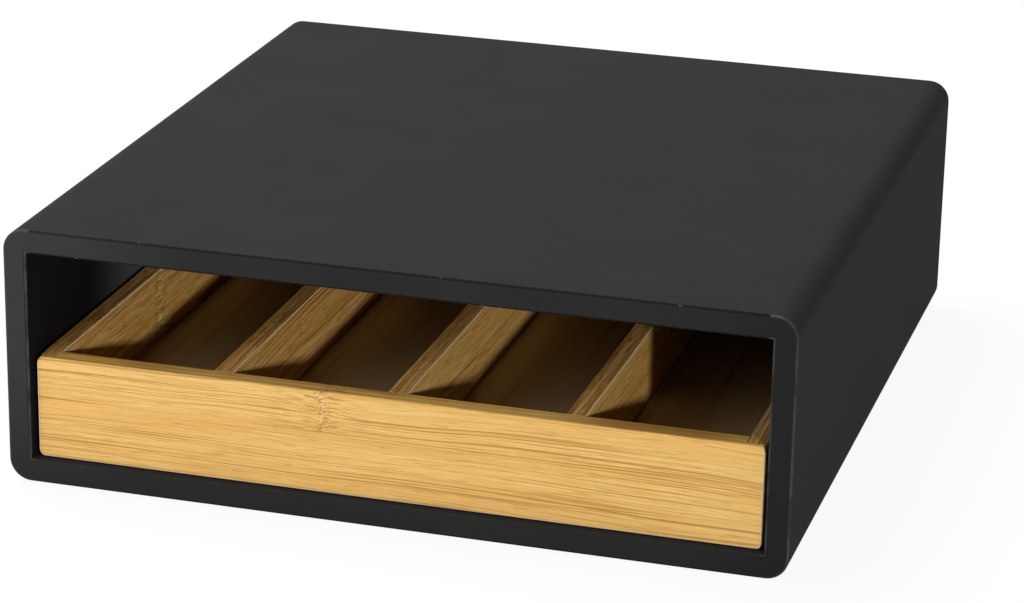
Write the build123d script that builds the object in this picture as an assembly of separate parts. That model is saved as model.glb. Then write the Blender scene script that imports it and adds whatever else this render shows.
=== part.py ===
"""Coffee capsule drawer: a painted box casing with an open front, and a bamboo drawer with four lanes.

Millimetres. Origin at the middle of the footprint, on the surface it stands on.
+X is to the right seen from the front, +Y to the back, +Z up. The drawer is shut.
"""

import os

from build123d import *

# Outer sizes of the casing, as printed beside the object in the photo

WIDTH = 300.0
DEPTH = 310.0
CASING_HEIGHT = 100.0

# Casing

PAD_THICKNESS = 1.0
WALL = 9.0
CORNER_RADIUS = 8.5
OUTER_EASING = 0.7
MOUTH_EASING = 0.4

PAD_RADIUS = 10.0
PAD_INSET_X = 25.0
PAD_INSET_Y = 25.0

# Drawer

FRONT_RECESS = 3.5
SIDE_GAP = 1.6
FLOOR_GAP = 0.3
STOP_GAP = 0.3
DRAWER_HEIGHT = 40.0
FRONT_BOARD = 8.0
BOARD = 7.5
FRONT_LIP = 1.6
LONG_EDGE_RADIUS = 1.0
SOFT_CORNER_RADIUS = 2.8
FRONT_EASING = 0.8
ARRIS = 0.4
DIVIDERS = ("left_divider", "middle_divider", "right_divider")

BOTTOM_BOARD = 5.0
BOTTOM_RAISE = 6.0
GROOVE_DEPTH = 4.0
GROOVE_END_GAP = 0.3
GROOVE_TOP_GAP = 0.2

# Dowels

DOWEL_RADIUS = 2.0
DOWEL_CHAMFER = 0.4
DOWEL_GAP = 0.05
DOWEL_END_GAP = 0.4
DOWEL_IN_FACE = 4.6
DOWEL_IN_EDGE = 11.0
CASING_DOWELS_Y = (-125.0, -42.0, 42.0, 125.0)
BACK_DOWELS_X = (-90.0, 0.0, 90.0)
BACK_DOWELS_Z = (31.0, 71.0)
DRAWER_DOWELS_Z = (29.0, 42.0)

# Places worked out from the sizes

FRONT_Y = -DEPTH / 2
BACK_Y = DEPTH / 2
BASE_Z = PAD_THICKNESS
TOP_Z = BASE_Z + CASING_HEIGHT
FLOOR_Z = BASE_Z + WALL
CEILING_Z = TOP_Z - WALL
INNER_X = WIDTH / 2 - WALL

DRAWER_FRONT_Y = FRONT_Y + FRONT_RECESS
DRAWER_BACK_Y = BACK_Y - WALL - STOP_GAP
LANE_FRONT_Y = DRAWER_FRONT_Y + FRONT_BOARD
LANE_BACK_Y = DRAWER_BACK_Y - BOARD
DRAWER_X = INNER_X - SIDE_GAP
DRAWER_LOW_Z = FLOOR_Z + FLOOR_GAP
RIM_Z = DRAWER_LOW_Z + DRAWER_HEIGHT
BOTTOM_Z = DRAWER_LOW_Z + BOTTOM_RAISE
LANE_FLOOR_Z = BOTTOM_Z + BOTTOM_BOARD
LANE_COUNT = len(DIVIDERS) + 1
INNER_DRAWER_X = DRAWER_X - BOARD
SIDES_X = ((-DRAWER_X, -INNER_DRAWER_X), (INNER_DRAWER_X, DRAWER_X))
LANE_WIDTH = (2 * INNER_DRAWER_X - len(DIVIDERS) * BOARD) / LANE_COUNT
DIVIDERS_X = [-INNER_DRAWER_X + (i + 1) * LANE_WIDTH + (i + 0.5) * BOARD for i in range(len(DIVIDERS))]


def block(x, y, z):
    """A box from three (low, high) pairs."""
    size = [pair[1] - pair[0] for pair in (x, y, z)]
    low = (x[0], y[0], z[0])
    return Pos(*low) * Box(*size, align=(Align.MIN, Align.MIN, Align.MIN))


def rod(point, direction, grow=0.0, longer=0.0):
    """A plain rod through a joint face at point: its short end lies ahead, its long end behind."""
    length = DOWEL_IN_FACE + DOWEL_IN_EDGE + 2 * longer
    start = Vector(*point) - Vector(*direction) * (DOWEL_IN_EDGE + longer)
    return Plane(origin=start, z_dir=direction) * extrude(Circle(DOWEL_RADIUS + grow), length)


def dowel(point, direction):
    """A dowel with eased ends."""
    solid = rod(point, direction)
    return chamfer(solid.edges().filter_by(GeomType.CIRCLE), DOWEL_CHAMFER)


def drilled(board, dowels):
    """The board with a hole for each dowel that enters it."""
    for point, direction in dowels:
        board = board - rod(point, direction, DOWEL_GAP, DOWEL_END_GAP)
    return board


# Dowel places: a point on the joint face, and the direction of the short end

UP = (0, 0, 1)
DOWN = (0, 0, -1)
LEFT = (-1, 0, 0)
RIGHT = (1, 0, 0)
TO_FRONT = (0, -1, 0)
TO_BACK = (0, 1, 0)


def casing_joints():
    """Dowels of the four long corner joints."""
    side_middle = INNER_X + WALL / 2
    places = []
    for x in (-side_middle, side_middle):
        for y in CASING_DOWELS_Y:
            places.append(((x, y, CEILING_Z), UP))
            places.append(((x, y, FLOOR_Z), DOWN))
    return places


def back_joints():
    """Dowels round the back panel."""
    y = BACK_Y - WALL / 2
    places = []
    for x in BACK_DOWELS_X:
        places.append(((x, y, CEILING_Z), UP))
        places.append(((x, y, FLOOR_Z), DOWN))
    for z in BACK_DOWELS_Z:
        places.append(((-INNER_X, y, z), LEFT))
        places.append(((INNER_X, y, z), RIGHT))
    return places


def front_joints(x):
    """Dowels at the front end of a drawer board that runs front to back at x."""
    return [((x, LANE_FRONT_Y, z), TO_FRONT) for z in DRAWER_DOWELS_Z]


def rear_joints(x):
    """Dowels at the rear end of such a board."""
    return [((x, LANE_BACK_Y, z), TO_BACK) for z in DRAWER_DOWELS_Z]


CASING_JOINTS = casing_joints()
BACK_JOINTS = back_joints()
SIDE_X = DRAWER_X - BOARD / 2
CORNER_JOINTS = rear_joints(-SIDE_X) + rear_joints(SIDE_X)
DIVIDER_JOINTS = [place for x in DIVIDERS_X for place in front_joints(x) + rear_joints(x)]


# Casing


def casing_shell():
    """The four outer boards as one ring, rounded outside and eased at both ends."""
    middle = (BASE_Z + TOP_Z) / 2
    outline = RectangleRounded(WIDTH, CASING_HEIGHT, CORNER_RADIUS)
    mouth = Rectangle(2 * INNER_X, CEILING_Z - FLOOR_Z)
    front = Plane(origin=(0, FRONT_Y, middle), x_dir=(1, 0, 0), z_dir=(0, -1, 0))
    ring = extrude(front * (outline - mouth), -DEPTH)
    outer = [edge for edge in ring.edges() if is_at_end(edge) and not on_mouth(edge)]
    ring = fillet(outer, OUTER_EASING)
    inner = [edge for edge in ring.edges() if on_mouth(edge) and is_at_end(edge)]
    return chamfer(inner, MOUTH_EASING)


def on_mouth(edge):
    """True for an edge of the opening."""
    centre = edge.center()
    at_side = abs(abs(centre.X) - INNER_X) < 0.01
    at_level = min(abs(centre.Z - FLOOR_Z), abs(centre.Z - CEILING_Z)) < 0.01
    inside = abs(centre.X) < INNER_X + 0.01 and FLOOR_Z - 0.01 < centre.Z < CEILING_Z + 0.01
    return inside and (at_side or at_level)


def is_at_end(edge):
    """True for an edge that lies in the casing's front or back face."""
    box = edge.bounding_box()
    flat = box.size.Y < 0.01
    return flat and min(abs(box.min.Y - FRONT_Y), abs(box.min.Y - BACK_Y)) < 0.01


def casing_boards():
    """The ring cut into its four boards, and the back panel between them."""
    ring = casing_shell()
    wide = (-WIDTH, WIDTH)
    deep = (-DEPTH, DEPTH)
    upright = (FLOOR_Z, CEILING_Z)
    joints = CASING_JOINTS + BACK_JOINTS
    back = block((-INNER_X, INNER_X), (BACK_Y - WALL, BACK_Y), upright)
    return {
        "top_panel": drilled(ring & block(wide, deep, (CEILING_Z, TOP_Z + 1)), joints),
        "bottom_panel": drilled(ring & block(wide, deep, (BASE_Z - 1, FLOOR_Z)), joints),
        "left_panel": drilled(ring & block((-WIDTH, -INNER_X), deep, upright), joints),
        "right_panel": drilled(ring & block((INNER_X, WIDTH), deep, upright), joints),
        "back_panel": drilled(back, BACK_JOINTS),
    }


def pads():
    """Four anti-slip pads stuck under the corners of the bottom panel."""
    x = WIDTH / 2 - PAD_INSET_X
    y = DEPTH / 2 - PAD_INSET_Y
    corners = {
        "front_left_pad": (-x, -y),
        "front_right_pad": (x, -y),
        "rear_left_pad": (-x, y),
        "rear_right_pad": (x, y),
    }
    pad = extrude(Circle(PAD_RADIUS), PAD_THICKNESS)
    return {name: Pos(*place, 0) * pad for name, place in corners.items()}


# Drawer


def bottom_board(gap, top_gap=0.0):
    """The drawer's bottom with its edges in the grooves. The groove itself is the same shape with no gap."""
    reach = GROOVE_DEPTH - gap
    x = INNER_DRAWER_X + reach
    return block((-x, x), (LANE_FRONT_Y - reach, LANE_BACK_Y + reach), (BOTTOM_Z, LANE_FLOOR_Z + top_gap))


def drawer_outline(y, radius):
    """The outline of the drawer seen from the front, at y."""
    middle = (DRAWER_LOW_Z + RIM_Z) / 2
    plane = Plane(origin=(0, y, middle), x_dir=(1, 0, 0), z_dir=(0, -1, 0))
    return plane * RectangleRounded(2 * DRAWER_X, DRAWER_HEIGHT, radius)


def rounded_box():
    """The outside of the drawer. Its long edges are eased, and rounder towards the front corners."""
    front = drawer_outline(DRAWER_FRONT_Y, SOFT_CORNER_RADIUS)
    behind = drawer_outline(LANE_FRONT_Y, LONG_EDGE_RADIUS)
    return loft([front, behind]) + extrude(behind, LANE_FRONT_Y - DRAWER_BACK_Y)


def eased_top(board, edges):
    """The board with some of its long top edges eased, counted from the left or the front."""
    top = board.faces().sort_by(Axis.Z)[-1]
    longest = top.edges().sort_by(SortBy.LENGTH)[-2:]
    ordered = sorted(longest, key=lambda edge: edge.center().X + edge.center().Y)
    return chamfer([ordered[i] for i in edges], ARRIS)


def front_board(outside):
    """Full-width front with its outline eased, rebated at both ends so that a thin lip hides the sides."""
    board = block((-DRAWER_X, DRAWER_X), (DRAWER_FRONT_Y, LANE_FRONT_Y), (DRAWER_LOW_Z, RIM_Z)) & outside
    outline = board.faces().sort_by(Axis.Y)[0].edges()
    board = fillet(outline, FRONT_EASING)
    for low, high in SIDES_X:
        board = board - block((low, high), (DRAWER_FRONT_Y + FRONT_LIP, LANE_FRONT_Y), (DRAWER_LOW_Z, RIM_Z))
    rear_top = board.edges().filter_by(Axis.X).group_by(Axis.Z)[-1].sort_by(Axis.Y)[-1]
    return chamfer(rear_top, ARRIS)


def side_board(span, inner, outside):
    """A side with its inner top edge eased between front and back, and its front end in the rebate."""
    height = (DRAWER_LOW_Z, RIM_Z)
    board = eased_top(block(span, (LANE_FRONT_Y, LANE_BACK_Y), height), [inner])
    end = block(span, (DRAWER_FRONT_Y + FRONT_LIP, LANE_FRONT_Y), height)
    return (board + end) & outside


def drawer_boards():
    """Every board of the drawer."""
    outside = rounded_box()
    groove = bottom_board(0.0, GROOVE_TOP_GAP)
    joints = CORNER_JOINTS + DIVIDER_JOINTS
    height = (DRAWER_LOW_Z, RIM_Z)
    back = eased_top(block((-DRAWER_X, DRAWER_X), (LANE_BACK_Y, DRAWER_BACK_Y), height), [0, 1])
    left, right = SIDES_X
    boards = {
        "drawer_front": drilled(front_board(outside) - groove, DIVIDER_JOINTS),
        "drawer_back": drilled((back & outside) - groove, joints),
        "drawer_left_side": drilled(side_board(left, 1, outside) - groove, CORNER_JOINTS),
        "drawer_right_side": drilled(side_board(right, 0, outside) - groove, CORNER_JOINTS),
        "drawer_bottom": bottom_board(GROOVE_END_GAP),
    }
    for name, x in zip(DIVIDERS, DIVIDERS_X):
        board = block((x - BOARD / 2, x + BOARD / 2), (LANE_FRONT_Y, LANE_BACK_Y), (LANE_FLOOR_Z, RIM_Z))
        boards[name] = drilled(eased_top(board, [0, 1]), front_joints(x) + rear_joints(x))
    return boards


def dowel_groups():
    """The hidden dowels, one group of loose solids for each kind of joint."""
    groups = {
        "casing_dowels": CASING_JOINTS,
        "back_panel_dowels": BACK_JOINTS,
        "drawer_corner_dowels": CORNER_JOINTS,
        "divider_dowels": DIVIDER_JOINTS,
    }
    return {name: Compound(children=[dowel(*place) for place in places]) for name, places in groups.items()}


def main():
    """Write one file for each piece."""
    os.makedirs("parts", exist_ok=True)
    pieces = casing_boards() | pads() | drawer_boards() | dowel_groups()
    for name, shape in pieces.items():
        export_step(shape, f"parts/{name}.step")
        print(name, round(shape.volume))


main()
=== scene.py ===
"""Looks of the coffee capsule drawer: black painted casing, bare bamboo drawer, white studio.

Metres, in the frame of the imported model: +X right, +Y to the back, +Z up.
"""

import math

import bmesh
import bpy
from mathutils import Matrix, Vector


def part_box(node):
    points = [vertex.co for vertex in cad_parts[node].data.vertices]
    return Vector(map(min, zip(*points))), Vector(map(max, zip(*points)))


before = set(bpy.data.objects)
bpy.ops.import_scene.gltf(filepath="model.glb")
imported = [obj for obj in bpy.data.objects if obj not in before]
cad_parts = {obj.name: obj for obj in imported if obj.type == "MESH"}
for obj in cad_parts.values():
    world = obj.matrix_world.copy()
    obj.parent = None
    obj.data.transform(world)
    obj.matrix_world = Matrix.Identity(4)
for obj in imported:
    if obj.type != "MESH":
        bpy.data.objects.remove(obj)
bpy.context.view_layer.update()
scene = bpy.context.scene

MM = 0.001

# Which CAD pieces get which finish; the bamboo boards have a table of their own

PAINTED = ("top_panel", "bottom_panel", "left_panel", "right_panel", "back_panel")
PADS = ("front_left_pad", "front_right_pad", "rear_left_pad", "rear_right_pad")
DOWELS = ("casing_dowels", "back_panel_dowels", "drawer_corner_dowels", "divider_dowels")


def box_in_millimetres(node):
    """Lowest and highest corner of a CAD piece."""
    return [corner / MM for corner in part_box(node)]


# Casing sizes in millimetres, for what the paint does near its edges

bottom_low, bottom_high = box_in_millimetres("bottom_panel")
top_high = box_in_millimetres("top_panel")[1]
HALF_WIDTH = top_high.x
HALF_DEPTH = top_high.y
HALF_HEIGHT = (top_high.z - bottom_low.z) / 2
MIDDLE_HEIGHT = (top_high.z + bottom_low.z) / 2
WALL = bottom_high.z - bottom_low.z
CORNER_RADIUS = 8.5


# Small helpers for shader trees

FLOAT = "NodeSocketFloat"
VECTOR = "NodeSocketVector"
COLOUR = "NodeSocketColor"

# Where the Mix node keeps its factor, its two colours and their blend
MIX_FACTOR, MIX_FIRST, MIX_SECOND, MIX_RESULT = 0, 6, 7, 2


class Tree:
    """A node tree that is filled in reading order."""

    def __init__(self, tree):
        self.tree = tree

    def fill(self, node, inputs):
        """Give a node its inputs. Each is a socket to link or a value to keep."""
        for name, value in inputs.items():
            if isinstance(value, bpy.types.NodeSocket):
                self.tree.links.new(value, node.inputs[name])
            else:
                node.inputs[name].default_value = value
        return node

    def add(self, kind, inputs=None, **settings):
        """Add a node with its settings and inputs."""
        made = self.tree.nodes.new(kind)
        for name, value in settings.items():
            setattr(made, name, value)
        return self.fill(made, inputs or {})

    def use(self, group, inputs):
        """Put a group in the tree. Gives its outputs."""
        return self.add("ShaderNodeGroup", inputs, node_tree=group).outputs

    def maths(self, operation, *values, clamp=False):
        """One arithmetic step."""
        made = self.add("ShaderNodeMath", dict(enumerate(values)), operation=operation, use_clamp=clamp)
        return made.outputs[0]

    def plus(self, first, second, clamp=False):
        """The sum of two values."""
        return self.maths("ADD", first, second, clamp=clamp)

    def minus(self, first, second):
        """The first value less the second."""
        return self.maths("SUBTRACT", first, second)

    def times(self, first, *others):
        """The product of all the values."""
        for other in others:
            first = self.maths("MULTIPLY", first, other)
        return first

    def most(self, first, *others):
        """The largest of the values."""
        for other in others:
            first = self.maths("MAXIMUM", first, other)
        return first

    def size(self, value):
        """A value without its sign."""
        return self.maths("ABSOLUTE", value)

    def over(self, value, limit):
        """1 where a value is over the limit, and 0 elsewhere."""
        return self.maths("GREATER_THAN", value, limit)

    def under(self, value, limit):
        """1 where a value is under the limit, and 0 elsewhere."""
        return self.maths("LESS_THAN", value, limit)

    def ramp(self, value, low, high, start, end):
        """A smooth step from start, where value is low, to end, where it is high."""
        inputs = {"Value": value, "From Min": low, "From Max": high, "To Min": start, "To Max": end}
        return self.add("ShaderNodeMapRange", inputs, interpolation_type="SMOOTHSTEP").outputs[0]

    def rise(self, value, low, high, top=1.0):
        """A smooth step up from 0, where value is low, to top, where it is high."""
        return self.ramp(value, low, high, 0.0, top)

    def fall(self, value, low, high, top=1.0):
        """A smooth step down from top, where value is low, to 0, where it is high."""
        return self.ramp(value, low, high, top, 0.0)

    def spread(self, noise, start=0.0, end=1.0):
        """Noise stretched to run from start to end. Nearly all of it lies between 0.3 and 0.7."""
        return self.ramp(noise, 0.3, 0.7, start, end)

    def split(self, vector):
        """The three parts of a vector."""
        return self.add("ShaderNodeSeparateXYZ", {0: vector}).outputs

    def join(self, x=0.0, y=0.0, z=0.0):
        """A vector of three parts."""
        return self.add("ShaderNodeCombineXYZ", {0: x, 1: y, 2: z}).outputs[0]

    def vector_maths(self, operation, *values):
        """One arithmetic step on vectors."""
        return self.add("ShaderNodeVectorMath", dict(enumerate(values)), operation=operation).outputs[0]

    def noise(self, vector, grains, detail=2.0, roughness=0.5):
        """Noise over a vector in millimetres, with so many grains in a millimetre along each axis."""
        scaled = self.vector_maths("MULTIPLY", vector, grains)
        inputs = {"Vector": scaled, "Scale": 1.0, "Detail": detail, "Roughness": roughness}
        return self.add("ShaderNodeTexNoise", inputs).outputs["Fac"]

    def mix(self, factor, first, second, blend="MIX"):
        """Blend two colours."""
        inputs = {MIX_FACTOR: factor, MIX_FIRST: first, MIX_SECOND: second}
        return self.add("ShaderNodeMix", inputs, data_type="RGBA", blend_type=blend).outputs[MIX_RESULT]

    def bump(self, height, strength, distance):
        """The normal of a surface with this relief. Distance is in millimetres."""
        inputs = {"Strength": strength, "Distance": distance * MM, "Height": height}
        return self.add("ShaderNodeBump", inputs).outputs[0]

    def object_place(self):
        """Object coordinates in metres."""
        return self.add("ShaderNodeTexCoord").outputs["Object"]

    def place(self):
        """Object coordinates in millimetres."""
        return self.vector_maths("MULTIPLY", self.object_place(), even(1 / MM))


def even(value):
    """The same value along all three axes."""
    return (value, value, value)


def grey(level):
    """An opaque neutral colour."""
    return (*even(level), 1.0)


def new_group(name, inputs, outputs):
    """An empty shader group with named sockets. Gives its tree and its inputs."""
    group = bpy.data.node_groups.new(name, "ShaderNodeTree")
    for socket, kind in inputs:
        group.interface.new_socket(socket, in_out="INPUT", socket_type=kind)
    for socket, kind in outputs:
        group.interface.new_socket(socket, in_out="OUTPUT", socket_type=kind)
    tree = Tree(group)
    return tree, tree.add("NodeGroupInput").outputs


def empty_tree(owner):
    """The cleared node tree of a new material or world."""
    owner.use_nodes = True
    owner.node_tree.nodes.clear()
    return Tree(owner.node_tree)


def new_material(name):
    """A material with a Principled shader. Gives the material, its tree and the shader."""
    material = bpy.data.materials.new(name)
    tree = empty_tree(material)
    shader = tree.add("ShaderNodeBsdfPrincipled")
    tree.add("ShaderNodeOutputMaterial", {"Surface": shader.outputs[0]})
    return material, tree, shader


def dress(name, material):
    """Give a CAD piece its finish."""
    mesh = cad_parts[name].data
    mesh.materials.clear()
    mesh.materials.append(material)


# Bamboo: colours

PALE_STRIP = (0.84, 0.538, 0.176, 1.0)
WARM_STRIP = (0.74, 0.408, 0.106, 1.0)
AMBER_LINE = (0.40, 0.165, 0.034, 1.0)
KNUCKLE_PALE = (0.92, 0.68, 0.30, 1.0)
# Pale streaks in the core, and pale arrises, which are partly sanded wear and partly a painted highlight
SANDED_PALE_AND_HIGHLIGHT = (0.90, 0.71, 0.42, 1.0)
# Painted shade along the foot of a board
FOOT_SHADE_COLOUR = (0.05, 0.03, 0.015, 1.0)
CORE_DARK = (0.68, 0.56, 0.42, 1.0)

# Bamboo: sizes in millimetres. Most marks have a pair, where they start to fade and where they are gone

SEED_STEP = 311.0
SWAY = 1.3
GLUE_LINE = (0.10, 0.35)
SECOND_LINE = (0.10, 0.40)
SECOND_LINE_FROM_SEAM = 1.1
SKIN = (0.6, 3.6)
PLY_THICKNESS = 1.9
PLY_LINE = (0.10, 0.42)
CORE_BEGINS = (0.3, 0.9)
KNUCKLE_BEND = 1.8
KNUCKLE_RING = (0.3, 1.2)
KNUCKLE_NOTCHES = (1.0, 3.0)
KNUCKLE_BREAKS = (3.0, 16.0)
COMB_BEFORE = (-34.0, -4.0)
COMB_AFTER = (4.0, 24.0)
FOOT_SHADE_HEIGHTS = (0.20, 0.55)

# Bamboo: plain numbers. The grain changes this much slower through a board than across it, a seed moves the
# tones of the strips on by so much, and the painted shade along the foot of a board, where the gap beneath
# it lies in shadow, hides this much of the bamboo

SLOWER_THROUGH = 0.45
SEED_TONE = 7.31
FOOT_SHADE_STRENGTH = 0.95

# Sanded edges, partly a painted highlight: how far the normal has turned from the axes where an edge begins
# and where it is full, and how far it points to the front or up on the arris between the two

EDGE_TURN = (0.004, 0.08)
ARRIS_TURN = 0.08

# The axes that run along, across and through a board: an upright one that runs from left to right, an
# upright one that runs from front to back, and a lying one that runs from front to back

ALONG_X = (0, 2, 1)
ALONG_Y = (1, 2, 0)
LYING = (1, 0, 2)

# What sets the boards apart. width is a strip's. tint is for the whole board, and core for its inner plies
# at the low and the high end; the front board's lighter core, more so at its high end, is painted light.
# lines is how strong the fibres are, and knuckle_size how long the knuckle is. The rim entry is how pale
# the arrises are, partly sanded wear and partly a painted highlight, pale is their colour, and front_top is
# 0 where the arris between front and top has none of it

INNER_LOOK = dict(
    width=16.0,
    tint=(0.96, 0.93, 0.85, 1.0),
    core=((0.92, 0.84, 0.78, 1.0), (0.92, 0.84, 0.78, 1.0)),
    lines=2.1,
    knuckle_size=1.0,
    sanded_and_highlight_rim=0.75,
    pale=SANDED_PALE_AND_HIGHLIGHT,
    front_top=1.0,
)
LEFT_LOOK = INNER_LOOK | dict(knuckle_size=3.0)
FLOOR_LOOK = INNER_LOOK | dict(width=19.0, tint=(0.66, 0.80, 1.45, 1.0), lines=0.4)
FRONT_LOOK = INNER_LOOK | dict(
    tint=grey(1.0),
    # The front board's core is lighter, more so at its high end: painted light on its top
    core=((1.15, 1.12, 0.75, 1.0), (1.45, 1.45, 1.10, 1.0)),
    lines=1.0,
    sanded_and_highlight_rim=1.0,
    pale=(0.96, 0.80, 0.62, 1.0),
    front_top=0.0,
)

# The boards. seam is where one seam lies across the board. knuckle is its place along the board, and the
# lowest and the highest point across the board that it reaches

BOARDS = {
    "drawer_front": dict(look=FRONT_LOOK, axes=ALONG_X, seed=15, seam=34.3, knuckle=(-26.4, 34.3, 60.0)),
    "drawer_back": dict(look=INNER_LOOK, axes=ALONG_X, seed=11, seam=30.0, knuckle=(70.0, 10.0, 30.0)),
    "drawer_left_side": dict(look=LEFT_LOOK, axes=ALONG_Y, seed=5, seam=33.0, knuckle=(-46.0, 22.0, 60.0)),
    "drawer_right_side": dict(look=INNER_LOOK, axes=ALONG_Y, seed=8, seam=31.0, knuckle=(60.0, 31.0, 60.0)),
    "left_divider": dict(look=INNER_LOOK, axes=ALONG_Y, seed=14, seam=36.0, knuckle=(90.0, 20.0, 36.0)),
    "middle_divider": dict(look=INNER_LOOK, axes=ALONG_Y, seed=17, seam=34.0, knuckle=(100.0, 34.0, 60.0)),
    "right_divider": dict(look=INNER_LOOK, axes=ALONG_Y, seed=21, seam=37.0, knuckle=(40.0, 37.0, 60.0)),
    "drawer_bottom": dict(look=FLOOR_LOOK, axes=LYING, seed=26, seam=0.0, knuckle=(20.0, 19.0, 38.0)),
}


def place_in_culm(tree, given, inward):
    """Where a point of the board was in the culm: moved on by the seed, and swaying a little across."""
    slower = tree.minus(given["Seed"], tree.times(inward, SLOWER_THROUGH))
    shift = tree.join(x=tree.times(given["Seed"], SEED_STEP), z=slower)
    seeded = tree.vector_maths("ADD", given["Along Across Through"], shift)
    sway = tree.spread(tree.noise(seeded, (0.009, 0.03, 0.03), detail=1.0), -SWAY, SWAY)
    return tree.vector_maths("ADD", seeded, tree.join(y=sway))


def strips(tree, given, across, culm):
    """Strips side by side. Gives the tone of each, the dark seams between them, how strong these are along
    their length, and the amber skin beside them."""
    width = given["Strip Width"]
    steps = tree.maths("DIVIDE", tree.minus(across, given["Strip Start"]), width)
    index = tree.plus(tree.maths("FLOOR", steps), tree.times(given["Seed"], SEED_TONE))
    tone = tree.add("ShaderNodeTexWhiteNoise", {"W": index}, noise_dimensions="1D").outputs["Value"]
    from_seam = tree.times(tree.maths("PINGPONG", steps, 0.5), width)
    strength = tree.ramp(tree.noise(culm, (0.011, 0.03, 0.0), detail=1.0), 0.36, 0.60, 0.12, 0.85)
    glue = tree.fall(from_seam, *GLUE_LINE)
    beside = tree.fall(tree.size(tree.minus(from_seam, SECOND_LINE_FROM_SEAM)), *SECOND_LINE, 0.7)
    beside = tree.times(beside, tree.rise(tree.noise(culm, (0.014, 0.5, 0.0), detail=1.0), 0.45, 0.6))
    seam = tree.times(tree.most(glue, beside), strength)
    return tone, seam, strength, tree.fall(from_seam, *SKIN)


def knuckle_marks(tree, given, along, across, culm):
    """The knuckle of one strip. Gives its pale zigzag ring, the dark notches in it, the dashes that are
    combed out of it along the grain, and where it breaks the fibres."""
    size = given["Knuckle Size"]
    zigzag = tree.noise(culm, (0.0, 0.80, 0.80), detail=3.0, roughness=0.6)
    away = tree.minus(along, given["Knuckle At"])
    bent = tree.plus(away, tree.spread(zigzag, -KNUCKLE_BEND, KNUCKLE_BEND))
    offset = tree.maths("DIVIDE", tree.size(bent), size)
    inside = tree.times(tree.over(across, given["Knuckle Low"]), tree.under(across, given["Knuckle High"]))
    ring = tree.times(tree.fall(offset, *KNUCKLE_RING), inside)
    around = tree.times(tree.fall(offset, *KNUCKLE_NOTCHES), inside)
    longer = tree.vector_maths("DIVIDE", culm, tree.join(size, 1.0, 1.0))
    notch = tree.rise(tree.noise(longer, (0.7, 1.4, 1.4), detail=1.0), 0.50, 0.58)
    notch = tree.times(notch, around, 0.85)
    reach = tree.times(tree.rise(away, *COMB_BEFORE), tree.fall(away, *COMB_AFTER))
    comb = tree.rise(tree.noise(culm, (0.13, 2.3, 2.3), detail=1.0), 0.54, 0.61, 0.65)
    comb = tree.times(comb, reach, inside)
    broken = tree.times(tree.fall(tree.size(away), *KNUCKLE_BREAKS, 0.9), inside)
    return ring, notch, comb, broken


def fibre_bundles(tree, given, culm, crowded, broken):
    """Long thin amber lines in groups. They stand close where crowded is high, and stop where broken is."""
    crowd = tree.ramp(tree.noise(culm, (0.005, 0.08, 0.08), detail=1.0), 0.40, 0.60, 0.30, 1.0)
    crowd = tree.most(crowd, crowded)
    coarse = tree.rise(tree.noise(culm, (0.005, 1.25, 1.25), detail=1.0), 0.60, 0.67, 0.75)
    fine = tree.rise(tree.noise(culm, (0.012, 2.40, 2.40), detail=1.5), 0.56, 0.66, 0.60)
    lines = tree.times(tree.most(coarse, fine), crowd, tree.minus(1.0, broken))
    dash = tree.rise(tree.noise(culm, (0.09, 2.4, 2.4)), 0.59, 0.70, 0.50)
    return tree.times(tree.most(lines, dash), given["Line Strength"])


def ply_edges(tree, depth, culm):
    """The plies, which show on the edges of a board. Gives the two glue lines, the core between them, and
    its dark and pale streaks."""
    line = tree.fall(tree.size(tree.minus(depth, PLY_THICKNESS)), *PLY_LINE, 0.70)
    line = tree.times(line, tree.ramp(tree.noise(culm, (0.03, 0.3, 0.3)), 0.35, 0.60, 0.30, 1.0))
    core = tree.rise(depth, *CORE_BEGINS)
    streak = tree.noise(culm, (0.010, 0.0, 1.7), detail=1.0)
    dark = tree.times(core, tree.rise(streak, 0.50, 0.62, 0.9))
    pale = tree.times(core, tree.fall(streak, 0.38, 0.48, 0.5))
    return line, core, dark, pale


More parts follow.
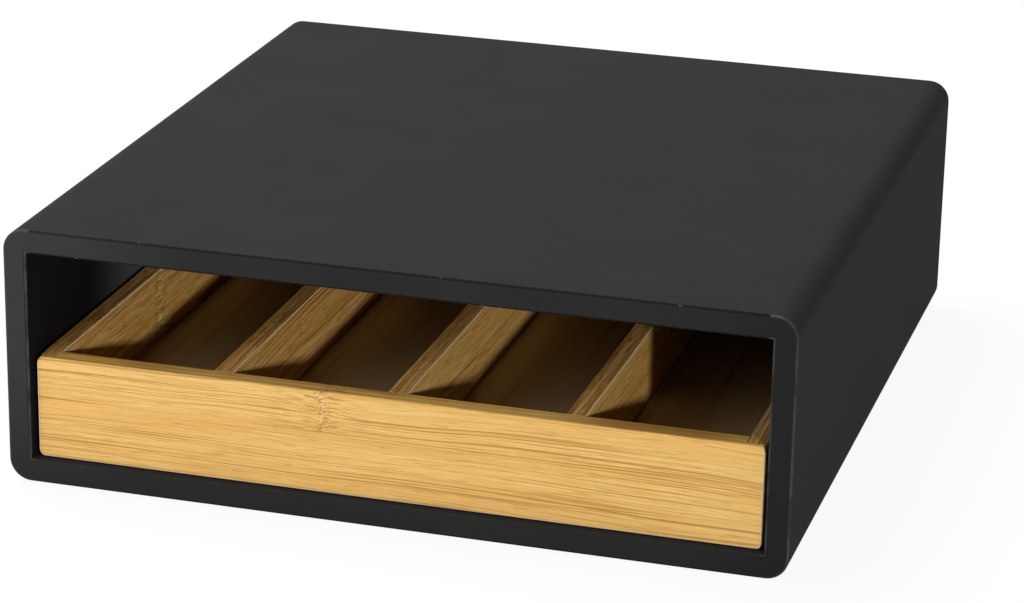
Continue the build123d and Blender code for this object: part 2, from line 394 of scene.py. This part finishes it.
def bamboo_grain():
    """Laminated bamboo: strips side by side, long fibres, amber skin along the seams and one knuckle."""
    numbers = (
        "Strip Width", "Strip Start", "Knuckle At", "Knuckle Low", "Knuckle High", "Knuckle Size", "Seed",
        "Line Strength", "Low Face", "High Face",
    )
    inputs = [("Along Across Through", VECTOR), ("Tint", COLOUR), ("Core Tint", COLOUR)]
    inputs += [(name, FLOAT) for name in numbers]
    outputs = [("Color", COLOUR), ("Roughness", FLOAT), ("Height", FLOAT)]
    tree, given = new_group("bamboo_grain", inputs, outputs)
    along, across, through = tree.split(given["Along Across Through"])
    inward = tree.minus(through, given["Low Face"])
    depth = tree.maths("MINIMUM", inward, tree.minus(given["High Face"], through))
    culm = place_in_culm(tree, given, inward)
    strip_tone, seam, seam_strength, skin = strips(tree, given, across, culm)
    ring, notch, comb, broken = knuckle_marks(tree, given, along, across, culm)
    bundles = fibre_bundles(tree, given, culm, tree.times(skin, seam_strength), broken)
    ply_line, core, dark_streak, pale_streak = ply_edges(tree, depth, culm)
    marks = tree.most(bundles, seam, comb, notch, ply_line)

    # Tone of the strip, and slow drifts along the culm
    drift = tree.noise(culm, (0.006, 0.10, 0.10))
    tone = tree.plus(tree.times(strip_tone, 0.50), tree.spread(drift, -0.10, 0.50))
    tone = tree.plus(tone, tree.times(skin, 0.15), clamp=True)
    colour = tree.mix(tone, PALE_STRIP, WARM_STRIP)

    # Fine light and dark hairs along the grain
    hair = tree.noise(culm, (0.07, 2.4, 2.4), detail=3.0, roughness=0.7)
    dark_hair = tree.times(tree.rise(hair, 0.50, 0.72, 0.80), given["Line Strength"])
    pale_hair = tree.times(tree.fall(hair, 0.28, 0.50, 0.60), given["Line Strength"])
    colour = tree.mix(dark_hair, colour, WARM_STRIP)
    colour = tree.mix(pale_hair, colour, KNUCKLE_PALE)

    # The core and its streaks, the knuckle, the dark marks and the tint of the board
    colour = tree.mix(core, colour, given["Core Tint"], "MULTIPLY")
    colour = tree.mix(dark_streak, colour, CORE_DARK, "MULTIPLY")
    colour = tree.mix(pale_streak, colour, SANDED_PALE_AND_HIGHLIGHT)
    colour = tree.mix(tree.times(ring, 0.75), colour, KNUCKLE_PALE)
    colour = tree.mix(marks, colour, AMBER_LINE)
    colour = tree.mix(1.0, colour, given["Tint"], "MULTIPLY")

    # Marks are rougher and sunk, and the knuckle stands proud
    rough = tree.plus(tree.spread(hair, 0.40, 0.50), tree.times(marks, 0.15))
    height = tree.minus(tree.times(hair, 0.35), tree.times(marks, 0.6))
    height = tree.plus(height, tree.times(ring, 0.6))
    tree.add("NodeGroupOutput", {"Color": colour, "Roughness": rough, "Height": height})
    return tree.tree


def sanded_and_highlight_edges():
    """Where a board's surface turns from one face to the next, from 0 to 1. Front Top is 0 where the turn
    from front to top is left out."""
    tree, given = new_group("sanded_and_highlight_edges", [("Front Top", FLOAT)], [("Edge", FLOAT)])
    normal = tree.add("ShaderNodeNewGeometry").outputs["True Normal"]
    _, to_back, up = tree.split(normal)
    turn = tree.minus(1.0, tree.most(*tree.split(tree.vector_maths("ABSOLUTE", normal))))
    front_top = tree.times(tree.under(to_back, -ARRIS_TURN), tree.over(up, ARRIS_TURN))
    left_out = tree.times(front_top, tree.minus(1.0, given["Front Top"]))
    edge = tree.times(tree.rise(turn, *EDGE_TURN), tree.minus(1.0, left_out))
    tree.add("NodeGroupOutput", {"Edge": edge})
    return tree.tree


def bamboo(board, grain, edges, look, axes, seed, seam, knuckle):
    """One board's bamboo, from its row in the table of boards."""
    material, tree, shader = new_material("bamboo_" + board)
    parts = tree.split(tree.place())
    lowest, highest = box_in_millimetres(board)
    lengthwise, _, through = axes
    along = tree.rise(parts[lengthwise], lowest[lengthwise], highest[lengthwise])
    knuckle_at, knuckle_low, knuckle_high = knuckle
    values = {
        "Along Across Through": tree.join(*[parts[axis] for axis in axes]),
        "Strip Width": look["width"],
        "Strip Start": seam,
        "Knuckle At": knuckle_at,
        "Knuckle Low": knuckle_low,
        "Knuckle High": knuckle_high,
        "Knuckle Size": look["knuckle_size"],
        "Seed": seed,
        "Line Strength": look["lines"],
        "Low Face": lowest[through],
        "High Face": highest[through],
        "Tint": look["tint"],
        "Core Tint": tree.mix(along, *look["core"]),
    }
    wood = tree.use(grain, values)
    edge = tree.use(edges, {"Front Top": look["front_top"]})["Edge"]
    # Pale arrises: partly sanded wear, partly a painted highlight
    colour = tree.mix(tree.times(edge, look["sanded_and_highlight_rim"]), wood["Color"], look["pale"])
    # Painted shade: a dark line along the foot of the board, where the gap beneath it lies in shadow
    above_foot = tree.minus(parts["Z"], lowest.z)
    colour = tree.mix(tree.fall(above_foot, *FOOT_SHADE_HEIGHTS, FOOT_SHADE_STRENGTH), colour, FOOT_SHADE_COLOUR)
    inputs = {
        "Base Color": colour,
        "Roughness": wood["Roughness"],
        "Specular IOR Level": 0.15,
        "Normal": tree.bump(wood["Height"], strength=0.15, distance=0.3),
    }
    tree.fill(shader, inputs)
    return material


bamboo_group = bamboo_grain()
edge_group = sanded_and_highlight_edges()
for board, facts in BOARDS.items():
    dress(board, bamboo(board, bamboo_group, edge_group, **facts))


# Paint: greys

PAINT_DARKER = grey(0.0235)
PAINT_LIGHTER = grey(0.0265)
# Painted sheen at the left of the front
PAINTED_SHEEN = grey(0.041)
# Painted shade at the right of the front
FRONT_RIGHT_SHADE = grey(0.019)
# Painted shade on the inner side walls
INNER_WALL_SHADE = grey(0.011)
# Painted light deeper inside
DEEP_PAINTED_LIGHT = grey(0.085)
# Painted light on the sill of the mouth
SILL_PAINTED_LIGHT = grey(0.030)
DUST = grey(0.10)
# Upright arrises: partly rubbed paint, partly a painted highlight
RUBBED_AND_HIGHLIGHT = grey(0.065)
# Painted shade: a dark line along the arrises that are not upright
ARRIS_SHADE_LINE = grey(0.009)
NICK = grey(0.058)

# Paint: sizes and places in millimetres

ARRIS = (0.4, 1.0)
MOUTH_ARRIS = 1.5
INSIDE_ARRIS = 1.0
FACE_PLAY = 0.2
FRONT_DEPTH = 0.8
SILL_DEPTH = 6.0
INSIDE_END = HALF_DEPTH - 5.0
DEEP_LIGHT_SHOWS = (-98.0, -45.0)
SHEEN_ACROSS = (-HALF_WIDTH, -60.0)
SHEEN_UP = (0.0, 60.0)
FRONT_RIGHT_SHADE_ACROSS = (110.0, 146.0)

# Dust in the paint: cells in a millimetre, the size of a speck in its cell, and the share of cells that
# have none

DUST_CELLS = 0.13
SPECK = (0.035, 0.065)
NO_SPECK = 0.84


def casing_zones():
    """Where a point of the casing lies. Soft is for arrises without the painted dark shade line."""
    names = ("Edge", "Upright", "Soft", "Sill", "Wall", "Deep", "Front")
    tree, given = new_group("casing_zones", [("Place", VECTOR)], [(name, FLOAT) for name in names])
    x, y, z = tree.split(given["Place"])
    wide = tree.size(x)
    high = tree.size(tree.minus(z, MIDDLE_HEIGHT))

    # How far in from the rounded outline of the casing, and how far out from its mouth
    round_x = tree.minus(wide, HALF_WIDTH - CORNER_RADIUS)
    round_z = tree.minus(high, HALF_HEIGHT - CORNER_RADIUS)
    corner = tree.join(tree.most(round_x, 0.0), tree.most(round_z, 0.0))
    reach = tree.add("ShaderNodeVectorMath", {0: corner}, operation="LENGTH").outputs["Value"]
    flat = tree.maths("MINIMUM", tree.most(round_x, round_z), 0.0)
    from_outline = tree.minus(CORNER_RADIUS, tree.plus(reach, flat))
    past_side = tree.minus(wide, HALF_WIDTH - WALL)
    past_mouth = tree.most(past_side, tree.minus(high, HALF_HEIGHT - WALL))

    # The arrises of the front and the back
    from_line = tree.maths("MINIMUM", from_outline, tree.size(past_mouth))
    from_end = tree.minus(HALF_DEPTH, tree.size(y))
    edge = tree.fall(tree.most(from_line, from_end), *ARRIS)
    front = tree.under(y, FRONT_DEPTH - HALF_DEPTH)

    # The inside
    inner = tree.times(tree.under(past_mouth, INSIDE_ARRIS), tree.under(y, INSIDE_END))
    deep = tree.times(tree.rise(y, *DEEP_LIGHT_SHOWS), inner)
    wall = tree.times(tree.over(past_side, -MOUTH_ARRIS), inner)

    # The upright boards, and the lower lip of the mouth with its sill
    upright = tree.over(wide, HALF_WIDTH - WALL - MOUTH_ARRIS)
    low = tree.under(z, MIDDLE_HEIGHT - HALF_HEIGHT + WALL + FACE_PLAY)
    lower_lip = tree.times(low, tree.under(past_mouth, MOUTH_ARRIS))
    soft = tree.most(upright, lower_lip)
    sill = tree.times(low, tree.under(past_mouth, FACE_PLAY), tree.under(y, SILL_DEPTH - HALF_DEPTH))
    values = (edge, upright, soft, sill, wall, deep, front)
    tree.add("NodeGroupOutput", dict(zip(names, values)))
    return tree.tree


def black_paint():
    """Matt black spray paint with dust in it, and painted light and shade: a sheen at the left of the
    front, shade at its right and on the inner walls, light deeper inside and on the sill, upright arrises
    lighter (partly rubbed, partly a highlight) and dark shade lines on the other arrises.
    """
    material, tree, shader = new_material("black_paint")
    place = tree.place()
    zones = tree.use(casing_zones(), {"Place": place})
    across, _, up = tree.split(place)

    # Tone: faint clouds, with a painted sheen at the left of the front, stronger higher up, and painted
    # shade at its right
    cloud = tree.noise(place, even(0.03), detail=4.0)
    colour = tree.mix(tree.spread(cloud), PAINT_DARKER, PAINT_LIGHTER)
    painted_sheen = tree.times(tree.fall(across, *SHEEN_ACROSS), zones["Front"], tree.ramp(up, *SHEEN_UP, 0.15, 1.0))
    front_right_shade = tree.times(tree.rise(across, *FRONT_RIGHT_SHADE_ACROSS), zones["Front"])
    tones = (
        (painted_sheen, PAINTED_SHEEN),
        (front_right_shade, FRONT_RIGHT_SHADE),
        # painted shade on the inner side walls
        (zones["Wall"], INNER_WALL_SHADE),
        # painted light deeper inside
        (zones["Deep"], DEEP_PAINTED_LIGHT),
        # painted light on the sill
        (zones["Sill"], SILL_PAINTED_LIGHT),
    )
    for mask, tone in tones:
        colour = tree.mix(mask, colour, tone)

    # A few specks of dust
    cells = tree.add("ShaderNodeTexVoronoi", {"Vector": place, "Scale": DUST_CELLS}).outputs
    rare = tree.over(tree.add("ShaderNodeSeparateColor", {0: cells["Color"]}).outputs[0], NO_SPECK)
    speck = tree.times(tree.fall(cells["Distance"], *SPECK), rare, 0.7)
    colour = tree.mix(speck, colour, DUST)

    # Arrises: the upright ones lighter in patches, partly rubbed paint and partly a painted highlight, the
    # others a painted dark shade line, and nicks in both
    patchy = tree.ramp(tree.noise(place, even(0.09), detail=3.0), 0.35, 0.6, 0.35, 1.0)
    rubbed_and_highlight = tree.times(zones["Edge"], zones["Upright"], patchy)
    arris_shade = tree.times(zones["Edge"], tree.minus(1.0, zones["Soft"]), 0.75)
    nick = tree.times(tree.rise(tree.noise(place, even(0.30)), 0.70, 0.76), zones["Edge"])
    for mask, tone in ((rubbed_and_highlight, RUBBED_AND_HIGHLIGHT), (arris_shade, ARRIS_SHADE_LINE), (nick, NICK)):
        colour = tree.mix(mask, colour, tone)

    spray = tree.noise(place, even(1.1), detail=3.0, roughness=0.6)
    rough = tree.plus(tree.spread(cloud, 0.61, 0.65), tree.spread(spray, -0.03, 0.03))
    inputs = {
        "Base Color": colour,
        "Roughness": tree.minus(rough, tree.times(rubbed_and_highlight, 0.2)),
        "Specular IOR Level": 0.006,
        "Normal": tree.bump(spray, strength=0.10, distance=0.15),
    }
    tree.fill(shader, inputs)
    return material


# Rubber and beech

RUBBER_PIT = grey(0.012)
RUBBER_SKIN = grey(0.035)
CELLS_IN_A_METRE = 1400.0
BEECH = (0.56, 0.34, 0.17, 1.0)
BEECH_FLECK = (0.38, 0.20, 0.09, 1.0)


def pad_rubber():
    """Foamed rubber with fine open cells."""
    material, tree, shader = new_material("pad_rubber")
    inputs = {"Vector": tree.object_place(), "Scale": CELLS_IN_A_METRE}
    cells = tree.add("ShaderNodeTexVoronoi", inputs).outputs["Distance"]
    inputs = {
        "Base Color": tree.mix(tree.rise(cells, 0.1, 0.6), RUBBER_PIT, RUBBER_SKIN),
        "Roughness": 0.85,
        "Normal": tree.bump(cells, strength=0.5, distance=0.2),
    }
    tree.fill(shader, inputs)
    return material


def beech():
    """Bare beech dowel with short flecks."""
    material, tree, shader = new_material("beech")
    fleck = tree.rise(tree.noise(tree.place(), even(1.6)), 0.45, 0.7)
    tree.fill(shader, {"Base Color": tree.mix(fleck, BEECH, BEECH_FLECK), "Roughness": 0.7})
    return material


for pieces, finish in ((PAINTED, black_paint()), (PADS, pad_rubber()), (DOWELS, beech())):
    for piece in pieces:
        dress(piece, finish)


# Studio: a white sweep, soft lamps from above and the front, and one small low lamp from the front right.
# The lens and the sensor are in millimetres, and the camera's turns in degrees

WHITE = grey(1.0)
FLOOR_HALF_SIDE = 6.0
FLOOR_IN_LIGHT = grey(0.60)
FLOOR_SEEN = grey(0.95)
FLOOR_WHITENESS = 0.93
DIM_SURROUNDING = 0.10
LAMP_TARGET = (0.0, -0.10, 0.05)
LENS = 123.70
SENSOR_WIDTH = 36.0
CAMERA_PLACE = (0.3687, -1.2846, 0.5180)
CAMERA_TURNS = ((15.94, "Z"), (-19.80, "X"), (-1.04, "Y"), (90.0, "X"))


def white_rays(tree):
    """1 for the rays that should meet a white surrounding: seen, mirrored and through glass."""
    path = tree.add("ShaderNodeLightPath").outputs
    return tree.most(path["Is Camera Ray"], path["Is Glossy Ray"], path["Is Transmission Ray"])


def floor():
    """A large pale floor that keeps the shadow but shows white."""
    shape = bmesh.new()
    bmesh.ops.create_grid(shape, x_segments=1, y_segments=1, size=FLOOR_HALF_SIDE)
    mesh = bpy.data.meshes.new("studio_floor")
    shape.to_mesh(mesh)
    shape.free()
    made = bpy.data.objects.new("studio_floor", mesh)
    scene.collection.objects.link(made)
    material = bpy.data.materials.new("studio_floor")
    tree = empty_tree(material)
    seen = tree.add("ShaderNodeLightPath").outputs["Is Camera Ray"]
    matt = tree.add("ShaderNodeBsdfDiffuse", {"Color": tree.mix(seen, FLOOR_IN_LIGHT, FLOOR_SEEN)})
    white = tree.add("ShaderNodeEmission", {"Color": WHITE, "Strength": 1.0})
    factor = tree.times(white_rays(tree), FLOOR_WHITENESS)
    blend = tree.add("ShaderNodeMixShader", {0: factor, 1: matt.outputs[0], 2: white.outputs[0]})
    tree.add("ShaderNodeOutputMaterial", {"Surface": blend.outputs[0]})
    mesh.materials.append(material)


def backdrop():
    """A white surrounding for the camera and for gloss, and a dim grey one for everything else."""
    world = bpy.data.worlds.new("studio")
    scene.world = world
    tree = empty_tree(world)
    dim = tree.add("ShaderNodeBackground", {"Color": WHITE, "Strength": DIM_SURROUNDING})
    white = tree.add("ShaderNodeBackground", {"Color": WHITE, "Strength": 1.0})
    blend = tree.add("ShaderNodeMixShader", {0: white_rays(tree), 1: dim.outputs[0], 2: white.outputs[0]})
    tree.add("ShaderNodeOutputWorld", {"Surface": blend.outputs[0]})


def lamp(name, direction, distance, size, power, target=LAMP_TARGET):
    """A soft lamp of that width and height, in that direction from its target and facing it."""
    data = bpy.data.lights.new(name, "AREA")
    data.shape = "RECTANGLE"
    data.size, data.size_y = size
    data.energy = power
    made = bpy.data.objects.new(name, data)
    towards = Vector(direction).normalized()
    made.location = Vector(target) + towards * distance
    made.rotation_mode = "QUATERNION"
    made.rotation_quaternion = towards.to_track_quat("Z", "Y")
    scene.collection.objects.link(made)


def camera():
    """The photograph's viewpoint."""
    data = bpy.data.cameras.new("camera")
    data.lens = LENS
    data.sensor_width = SENSOR_WIDTH
    made = bpy.data.objects.new("camera", data)
    turn = Matrix.Identity(3)
    for degrees, axis in CAMERA_TURNS:
        turn = turn @ Matrix.Rotation(math.radians(degrees), 3, axis)
    made.matrix_world = Matrix.Translation(CAMERA_PLACE) @ turn.to_4x4()
    scene.collection.objects.link(made)
    scene.camera = made


floor()
backdrop()
lamp("low_right_lamp", direction=(1.0, -1.41, 0.395), distance=2.6, size=(0.11, 0.11), power=32.5)
lamp("front_softbox", direction=(-0.45, -0.72, 0.55), distance=1.1, size=(0.6, 0.4), power=3.05)
lamp("left_softbox", direction=(-0.75, -1.0, 0.55), distance=0.5, size=(0.35, 0.35), power=0.40,
     target=(-0.12, -0.155, 0.05))
lamp("top_softbox", direction=(-0.4, 0.3, 1.0), distance=1.2, size=(1.1, 0.9), power=20.5)
camera()
scene.view_settings.view_transform = "Standard"

bpy.context.view_layer.update()
